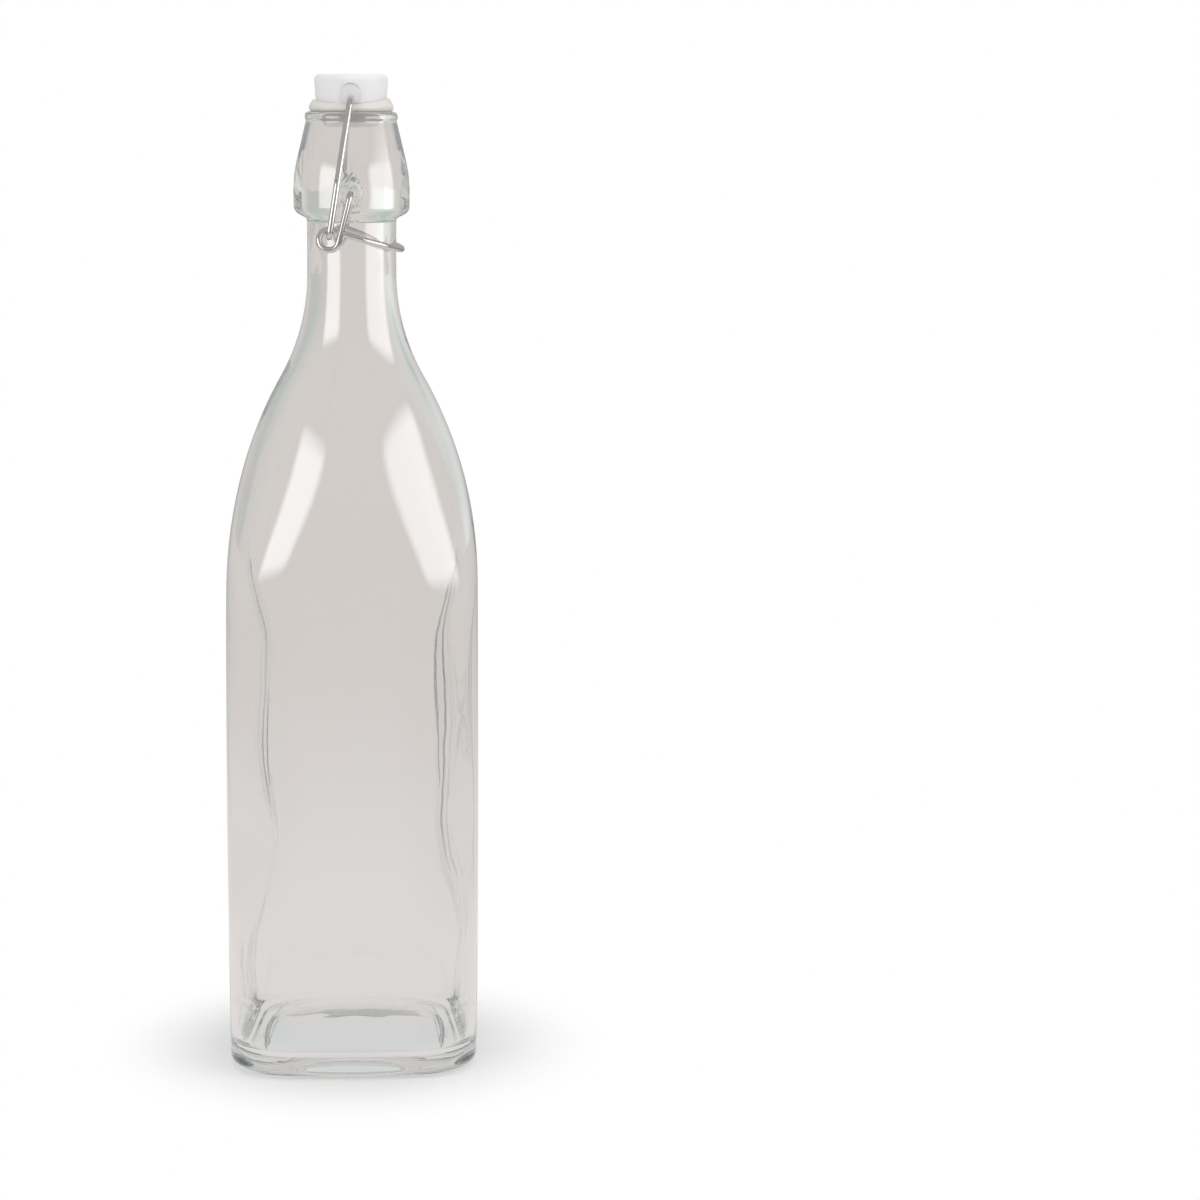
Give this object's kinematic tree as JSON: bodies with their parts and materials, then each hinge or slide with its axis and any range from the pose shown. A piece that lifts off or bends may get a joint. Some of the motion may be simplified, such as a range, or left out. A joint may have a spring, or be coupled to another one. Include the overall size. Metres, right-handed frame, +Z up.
{
  "type": "swing top bottle",
  "caption": "Square clear glass bottle with a long shoulder and round neck, closed by a plastic stopper with a rubber gasket on a steel wire swing top.",
  "frame": {"origin": "centre of the base on the surface that the bottle stands on", "axes": "+Z up along the bottle's axis, -Y to the front pivot dimple, +X to the lever's bow"},
  "size_m": [0.0808, 0.0808, 0.3155],
  "materials": {
    "glass": "clear pressed and blown glass with a faint green edge",
    "stopper_plastic": "white moulded plastic, slightly translucent",
    "gasket_rubber": "soft cream rubber",
    "steel_wire": "bright drawn steel wire"
  },
  "bodies": {
    "bottle": {"glass_bottle": "glass"},
    "lever": {"lever_wire": "steel_wire"},
    "bail": {"bail_wire": "steel_wire"},
    "closure": {"stopper": "stopper_plastic", "gasket": "gasket_rubber"}
  },
  "joints": [
    {"name": "lever_swing", "type": "hinge", "parent": "bottle", "child": "lever", "pos_m": [0, 0, 0.279], "axis": [0, -1, 0], "range_deg": [0, 90], "deforming": ["gasket"]},
    {"name": "bail_swing", "type": "hinge", "parent": "lever", "child": "bail", "pos_m": [-0.00655, 0, 0.26574], "axis": [0, -1, 0], "range_deg": [-62, 0]},
    {"name": "stopper_tilt", "type": "hinge", "parent": "bail", "child": "closure", "pos_m": [0, 0, 0.308], "axis": [0, -1, 0], "range_deg": [-29, 0]}
  ],
  "couplings": [
    {"joint": "bail_swing", "follows": "lever_swing", "ratio": -0.685},
    {"joint": "stopper_tilt", "follows": "lever_swing", "ratio": -0.315}
  ]
}
